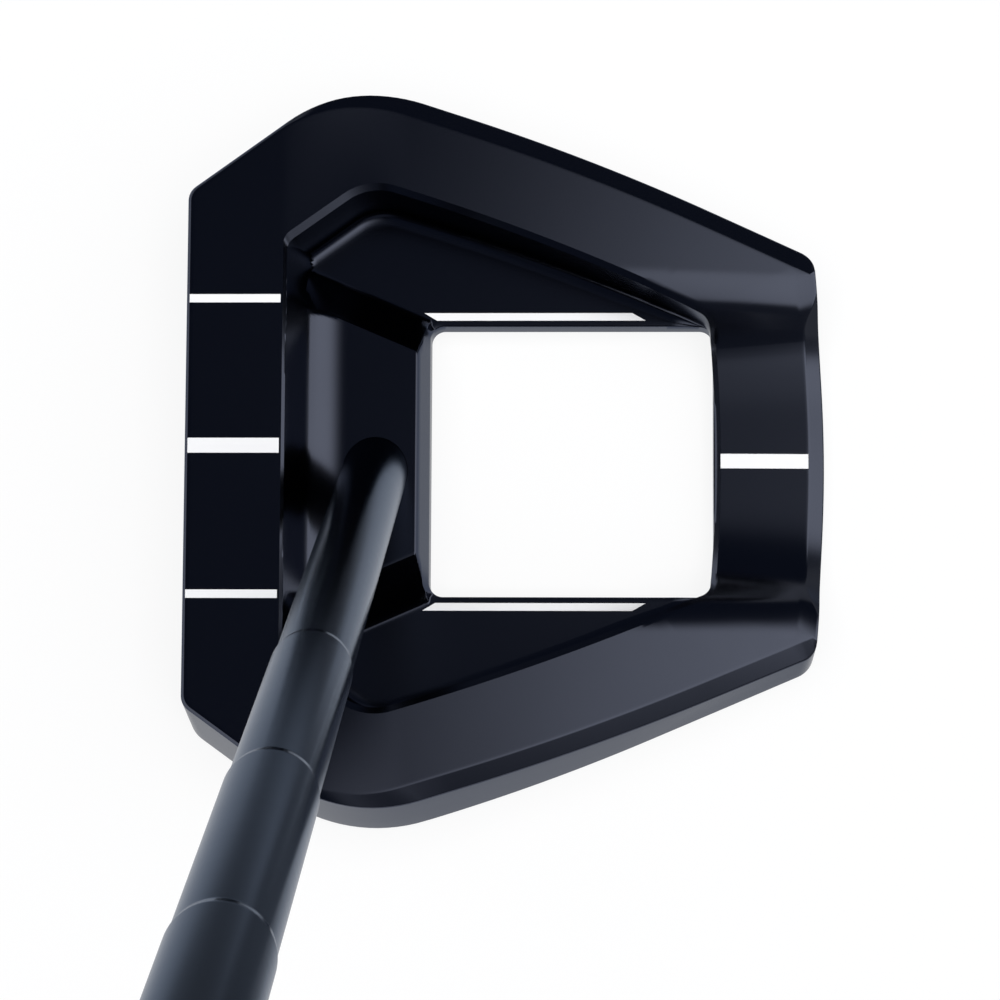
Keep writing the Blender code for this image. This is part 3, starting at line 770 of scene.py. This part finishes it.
def grain(name, color, roughness, grain_mm, bump_mm, metallic=0.0, edge=(1.0, 1.0, 1.0), rings=False):
    """Satin finish: colour that drifts a little, and roughness and surface that vary with a fine grain.

    Edge is the tint of a metal's reflection at a grazing view, which an anodised or painted skin dulls.
    Rings draws the grain out round the object's Z axis, as fine polishing does.
    """
    mat, link, shader, add = node_tools(name)
    shader.inputs["Metallic"].default_value = metallic
    shader.inputs["Specular Tint"].default_value = (*edge, 1.0)
    place = add("ShaderNodeTexCoord").outputs["Object"]
    drift = add("ShaderNodeTexNoise", Scale=1.0 / (DRIFT_MM * MM), Detail=DRIFT_DETAIL)
    link(place, drift.inputs["Vector"])
    tones = add("ShaderNodeValToRGB")
    for stop, share in zip(tones.color_ramp.elements, (1 - DRIFT, 1 + DRIFT)):
        stop.color = (*[channel * share for channel in color], 1.0)
    link(drift.outputs["Fac"], tones.inputs["Fac"])
    link(tones.outputs["Color"], shader.inputs["Base Color"])
    if rings:
        squeeze = add("ShaderNodeMapping", Scale=(RING_SQUEEZE, RING_SQUEEZE, 1.0))
        link(place, squeeze.inputs["Vector"])
        place = squeeze.outputs["Vector"]
    noise = add("ShaderNodeTexNoise", Scale=1.0 / (grain_mm * MM), Detail=GRAIN_DETAIL,
                Roughness=GRAIN_ROUGHNESS)
    link(place, noise.inputs["Vector"])
    span = add("ShaderNodeMapRange")
    span.inputs["To Min"].default_value = roughness * (1 - ROUGHNESS_SPREAD)
    span.inputs["To Max"].default_value = roughness * (1 + ROUGHNESS_SPREAD)
    link(noise.outputs["Fac"], span.inputs["Value"])
    link(span.outputs["Result"], shader.inputs["Roughness"])
    bump = add("ShaderNodeBump", Strength=1.0, Distance=bump_mm * MM)
    link(noise.outputs["Fac"], bump.inputs["Height"])
    link(bump.outputs["Normal"], shader.inputs["Normal"])
    return mat


ANODISED = grain("anodised_black", (0.074, 0.081, 0.106), roughness=0.21, grain_mm=0.25, bump_mm=0.002,
                 metallic=1.0, edge=(0.40, 0.415, 0.45))
DARK_STEEL = grain("dark_steel", (0.056, 0.061, 0.072), roughness=0.23, grain_mm=0.4, bump_mm=0.001,
                   metallic=1.0, edge=(0.53, 0.58, 0.67), rings=True)
MILLED = grain("milled_insert", (0.30, 0.30, 0.31), roughness=0.36, grain_mm=0.3, bump_mm=0.003,
               metallic=1.0)
TURNED = grain("turned_weight", (0.24, 0.24, 0.25), roughness=0.36, grain_mm=0.3, bump_mm=0.002,
               metallic=1.0)
PAINT = grain("white_paint", (0.91, 0.91, 0.91), roughness=0.5, grain_mm=0.5, bump_mm=0.003)
RUBBER = grain("grip_rubber", (0.020, 0.020, 0.021), roughness=0.72, grain_mm=0.7, bump_mm=0.06)
PLASTIC = grain("black_plastic", (0.027, 0.027, 0.028), roughness=0.5, grain_mm=0.5, bump_mm=0.01)
TAPE = grain("paper_tape", (0.72, 0.69, 0.60), roughness=0.85, grain_mm=0.8, bump_mm=0.03)


def add_head():
    """Milled ring head, with the seats of all that is let into it."""
    blank = closed_mesh("milled_head", [mirrored(half) for half in head_loops()], HEAD_PLACE)
    mesh = carve(blank, head_cutter())
    add_piece("milled_head", mesh, ANODISED, "head_body")


def turned_mesh(name, profile, sides, place):
    """Closed ring of (radius, height) points turned about the place's Z axis."""
    loops = [at_height(circle(radius, (0.0, 0.0), sides), height) for radius, height in profile]
    return closed_mesh(name, loops, place)


def add_shaft():
    """Stepped tube: each step is a short cone with eased ends."""
    profile = [(BORE_TIP_RADIUS, SHAFT_TIP), (TIP_RADIUS, SHAFT_TIP)]
    for step in range(STEP_COUNT):
        foot = FIRST_STEP + STEP_PITCH * step
        for i in range(STEP_LOOPS + 1):
            share = i / STEP_LOOPS
            radius = TIP_RADIUS + STEP_RISE * (step + ease(share, 0.0, 1.0))
            profile.append((radius, foot + STEP_CONE * share))
    butt = TIP_RADIUS + STEP_RISE * STEP_COUNT
    profile += [(butt, SHAFT_BUTT), (BORE_BUTT_RADIUS, SHAFT_BUTT)]
    profile.append((BORE_BUTT_RADIUS, FIRST_STEP + STEP_PITCH * (STEP_COUNT - 1)))
    profile.append((BORE_TIP_RADIUS, FIRST_STEP))
    mesh = turned_mesh("stepped_shaft", profile, SHAFT_SIDES, Matrix.Scale(MM, 4))
    place = SHAFT_PLACE @ Matrix.Scale(1 / MM, 4)
    add_piece("stepped_shaft", mesh, DARK_STEEL, "shaft", place)


def grip_sizes(height):
    """Half width, back depth and front depth of the grip at a place along the shaft."""
    along = (height - GRIP_START) / (GRIP_END - GRIP_START)
    for (start, *near), (end, *far) in zip(GRIP_SECTIONS, GRIP_SECTIONS[1:]):
        if along <= end:
            break
    share = part_way(along, start, end)
    return [a + (b - a) * share for a, b in zip(near, far)]


def grip_loop(height, inset=0.0, groove=0.0):
    """Section of the grip: round back, flat front with rounded corners and the cross grooves."""
    half, back, front = [size - inset for size in grip_sizes(height)]
    points = []
    for i in range(GRIP_POINTS):
        across = math.cos(2 * math.pi * i / GRIP_POINTS)
        out = math.sin(2 * math.pi * i / GRIP_POINTS)
        depth = out * back
        if out > 0:
            depth = smooth_min(out * GRIP_FLATNESS * front, front, GRIP_CORNER)
            depth -= groove * ease(abs(across), *RIB_REACH)
        points.append((half * across, depth, height))
    return points


def rounded_end(end, inwards):
    """Loops of the grip's rounded end, from its rim to its side."""
    loops = []
    for i in range(ROUND_LOOPS + 1):
        angle = math.pi / 2 * i / ROUND_LOOPS
        inset = GRIP_ROUND * (1 - math.sin(angle))
        loops.append(grip_loop(end + inwards * GRIP_ROUND * (1 - math.cos(angle)), inset))
    return loops


def add_grip():
    """Moulded grip with a flat, ribbed front."""
    loops = rounded_end(GRIP_START, 1)
    place = RIB_SPAN[0]
    bottom, top = RIB_WIDTH
    while place < RIB_SPAN[1]:
        for offset, groove in ((-top, 0.0), (-bottom, RIB_DEPTH), (bottom, RIB_DEPTH), (top, 0.0)):
            loops.append(grip_loop(place + offset, 0.0, groove))
        place += RIB_PITCH
    loops += reversed(rounded_end(GRIP_END, -1))
    bore = circle(GRIP_BORE, (0.0, 0.0), GRIP_POINTS)
    loops += [at_height(bore, end) for end in (GRIP_END, GRIP_START)]
    mesh = closed_mesh("moulded_grip", loops, SHAFT_PLACE)
    add_piece("moulded_grip", mesh, RUBBER, "grip")


def add_cap():
    """Domed cap in the grip's butt, with a ring groove and a vent hole."""
    rim, middle = CAP_HEIGHT
    profile = [(VENT_RADIUS, CAP_BASE), (CAP_RADIUS, CAP_BASE), (CAP_RADIUS, CAP_BASE + rim - CAP_RIM)]
    inner, outer = CAP_RING
    radii = [CAP_RADIUS - CAP_RIM * share for share in CAP_RIM_SHARES]
    radii += [outer + CAP_RING_EDGE, outer, inner, inner - CAP_RING_EDGE, *CAP_DOME_RADII, VENT_RADIUS]
    for radius in radii:
        edge = CAP_RIM * ease(radius, CAP_RADIUS - CAP_RIM, CAP_RADIUS)
        ring = CAP_RING_DEPTH if inner <= radius <= outer else 0.0
        dome = middle - (middle - rim) * (radius / CAP_RADIUS) ** 2
        profile.append((radius, CAP_BASE + dome - edge - ring))
    mesh = turned_mesh("butt_cap", profile, SHAFT_SIDES, SHAFT_PLACE)
    add_piece("butt_cap", mesh, PLASTIC, "grip_cap")


def prism_mesh(name, prisms, place):
    """Mesh of closed prisms, each given by its loops."""
    bm = bmesh.new()
    for loops in prisms:
        add_prism(bm, loops, place)
    mesh = bpy.data.meshes.new(name)
    bm.to_mesh(mesh)
    bm.free()
    outward(mesh)
    return mesh


def add_insert():
    """Face plate with a broken edge and milled grooves along it."""
    length, height, depth = INSERT_SIZE
    loops = []
    for x, inset in ((depth, 0.0), (INSERT_EDGE, 0.0), (0.0, INSERT_EDGE)):
        half = height / 2 - inset
        plate = rounded_rectangle(-half, half, length / 2 - inset, INSERT_RADIUS - inset)
        loops.append([(x, y, z) for z, y in plate])
    grooves = []
    bottom, top = MILLING_WIDTH
    for i in range(MILLING_COUNT):
        middle = MILLING_PITCH * (i - (MILLING_COUNT - 1) / 2)
        section = ((-MILLING_DEPTH, -top), (MILLING_DEPTH, -bottom),
                   (MILLING_DEPTH, bottom), (-MILLING_DEPTH, top))
        grooves.append([[(x, y, middle + z) for x, z in section] for y in (-length, length)])
    plate = prism_mesh("face_plate", [loops], FACE_PLACE)
    mesh = carve(plate, prism_mesh("milling", grooves, FACE_PLACE))
    add_piece("face_plate", mesh, MILLED, "face_insert")


def add_weights():
    """Sole weights with broken edges and a countersunk hex socket."""
    def disc(radius, z, sides=DISC_SIDES):
        return at_height(circle(radius, (0.0, 0.0), sides), z)

    levels = ((WEIGHT_BOTTOM, WEIGHT_EDGE), (WEIGHT_BOTTOM + WEIGHT_EDGE, 0.0),
              (WEIGHT_TOP - WEIGHT_EDGE, 0.0), (WEIGHT_TOP, WEIGHT_EDGE))
    body = [disc(WEIGHT_RADIUS - inset, z) for z, inset in levels]
    radius, socket_top = WEIGHT_SOCKET
    socket = [disc(radius, z, HEX_SIDES) for z in (-SOCKET_PAST, socket_top)]
    sink = [disc(radius + WEIGHT_BOTTOM - z, z) for z in (0.0, WEIGHT_BOTTOM + COUNTERSINK)]
    here = Matrix.Identity(4)
    mesh = carve(prism_mesh("weight", [body], here), prism_mesh("socket", [socket], here))
    mesh = carve(mesh, prism_mesh("sink", [sink], here))
    for place, side in (("toe", 1), ("heel", -1)):
        for number, (x, y) in enumerate(WEIGHT_SPOTS, 1):
            copy = mesh.copy()
            copy.transform(HEAD_PLACE @ Matrix.Translation((x, side * y, 0.0)))
            node = f"weight_{place}_{number}"
            add_piece(f"sole_{node}", copy, TURNED, node)


def add_rear_line():
    """Painted line of the rear bar, which falls with the valley."""
    low, high = plan_corners("sightline_rear")
    bottom = high.z - GROOVE_DEPTH + FIT
    corners = ((low.x, low.y), (high.x, low.y), (high.x, high.y), (low.x, high.y))
    top = [(x, y, VALLEY_Z - VALLEY_FALL * (x - VALLEY_MIDWAY) - FIT) for x, y in corners]
    mesh = prism_mesh("rear_line", [[at_height(corners, bottom), top]], HEAD_PLACE)
    add_piece("rear_line", mesh, PAINT, "sightline_rear")


def finish_cad_nodes():
    """Finishes of the pieces whose CAD shape is already right."""
    finishes = {"sightline": PAINT, "grip_tape": TAPE, "shaft_tip_plug": PLASTIC}
    for name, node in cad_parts.items():
        for start, finish in finishes.items():
            if name.startswith(start):
                node.data.materials.clear()
                node.data.materials.append(finish)


def add_floor():
    """Pale floor: white to the camera but for a part of the shadow; past toe and rear it fades in metal, a
    painted shade in the metal's reflections.
    """
    mat, link, shader, add = node_tools("pale_floor")
    tree = mat.node_tree
    spot = add("ShaderNodeSeparateXYZ")
    link(add("ShaderNodeNewGeometry").outputs["Position"], spot.inputs["Vector"])
    # painted shade: past rear and toe the floor's grey drops, for what metal mirrors and for the light
    # bounced off it
    past_rear = ramp_of(tree, spot.outputs["X"], REAR_FADE, FLOOR_TONE)
    past_toe = ramp_of(tree, spot.outputs["Y"], TOE_FADE, FLOOR_TONE)
    tone = math_of(tree, "MINIMUM", past_rear, past_toe)
    path = add("ShaderNodeLightPath")
    seen = math_of(tree, "MAXIMUM", path.outputs["Is Camera Ray"], path.outputs["Is Transmission Ray"])
    shade = math_of(tree, "MAXIMUM", tone, math_of(tree, "MULTIPLY", seen, FLOOR_TONE[0]))
    grey = add("ShaderNodeCombineColor")
    for channel in grey.inputs:
        link(shade, channel)
    link(grey.outputs["Color"], shader.inputs["Base Color"])
    shader.inputs["Roughness"].default_value = FLOOR_ROUGHNESS
    shader.inputs["Specular IOR Level"].default_value = 0.0
    # glossy rays see the glow dimmed by that painted shade past toe and rear
    in_metal = math_of(tree, "MULTIPLY", path.outputs["Is Glossy Ray"], tone)
    glowing = math_of(tree, "MAXIMUM", math_of(tree, "MULTIPLY", seen, FLOOR_GLOW), in_metal)
    glow = add("ShaderNodeEmission", Color=(1.0, 1.0, 1.0, 1.0), Strength=1.0)
    mixed = add("ShaderNodeMixShader")
    link(glowing, mixed.inputs["Fac"])
    link(shader.outputs["BSDF"], mixed.inputs[1])
    link(glow.outputs["Emission"], mixed.inputs[2])
    link(mixed.outputs["Shader"], tree.nodes["Material Output"].inputs["Surface"])
    mesh = bpy.data.meshes.new("floor")
    corners = [(x * FLOOR_HALF, y * FLOOR_HALF, 0.0) for x, y in ((-1, -1), (1, -1), (1, 1), (-1, 1))]
    mesh.from_pydata(corners, [], [(0, 1, 2, 3)])
    mesh.materials.append(mat)
    floor = bpy.data.objects.new("floor", mesh)
    floor.location.z = -FLOOR_DROP
    bpy.context.scene.collection.objects.link(floor)


def add_dome():
    """World light: a soft dome, dark above face and toe, a light horizon before the face, and the room."""
    world = bpy.data.worlds.new("studio")
    bpy.context.scene.world = world
    world.use_nodes = True
    tree = world.node_tree
    link = tree.links.new
    direction = tree.nodes.new("ShaderNodeTexCoord")
    axes = tree.nodes.new("ShaderNodeSeparateXYZ")
    link(direction.outputs["Generated"], axes.inputs["Vector"])
    x, y, z = axes.outputs
    side = ramp_of(tree, math_of(tree, "MULTIPLY_ADD", x, -TOE_SLANT, y), TOE_SPAN)
    low_middle = ramp_of(tree, math_of(tree, "ABSOLUTE", y), MIDDLE_SPAN)
    raised = ramp_of(tree, math_of(tree, "MULTIPLY_ADD", x, REAR_SLANT, z), RAISED_SPAN, (LOW_LIGHT, 1.0))
    span = math_of(tree, "MULTIPLY", side, math_of(tree, "MAXIMUM", raised, low_middle))
    dome = math_of(tree, "MULTIPLY", ramp_of(tree, x, DOME_SPAN, (0.0, DOME_LIGHT)), span)
    low = ramp_of(tree, z, HORIZON_SPAN, (0.0, HORIZON_LIGHT))
    horizon = math_of(tree, "MULTIPLY", low, ramp_of(tree, x, HORIZON_SIDE))
    light = tree.nodes["Background"]
    light.inputs["Color"].default_value = (1.0, 1.0, 1.0, 1.0)
    link(math_of(tree, "MAXIMUM", dome, horizon), light.inputs["Strength"])
    room = tree.nodes.new("ShaderNodeBackground")
    room.inputs["Color"].default_value = ROOM_COLOR
    room.inputs["Strength"].default_value = ROOM_LIGHT
    both = tree.nodes.new("ShaderNodeAddShader")
    link(light.outputs["Background"], both.inputs[0])
    link(room.outputs["Background"], both.inputs[1])
    link(both.outputs["Shader"], tree.nodes["World Output"].inputs["Surface"])


def add_top_light():
    """Lamp straight above, not mirrored by metal: it only brings pale surfaces to their own colour."""
    lamp = bpy.data.lights.new("top_light", "AREA")
    lamp.size = TOP_LIGHT_SIZE
    lamp.energy = TOP_LIGHT
    light = bpy.data.objects.new("top_light", lamp)
    light.location.z = TOP_LIGHT_HEIGHT
    light.visible_camera = False
    light.visible_glossy = False
    bpy.context.scene.collection.objects.link(light)


def add_camera():
    """Camera of the photograph: close above the head, tilted a little from the heel and the rear."""
    lens = bpy.data.cameras.new("camera")
    lens.sensor_width = CAMERA_SENSOR
    lens.lens = CAMERA_LENS
    lens.clip_start = CAMERA_NEAR
    camera = bpy.data.objects.new("camera", lens)
    camera.location = CAMERA_PLACE
    turn = Vector(CAMERA_TURN)
    camera.rotation_mode = "QUATERNION"
    camera.rotation_quaternion = Quaternion(turn.normalized(), turn.length)
    bpy.context.scene.collection.objects.link(camera)
    bpy.context.scene.camera = camera


add_head()
add_shaft()
add_grip()
add_cap()
add_insert()
add_weights()
add_rear_line()
finish_cad_nodes()
add_floor()
add_dome()
add_top_light()
add_camera()
bpy.context.scene.view_settings.view_transform = "Standard"
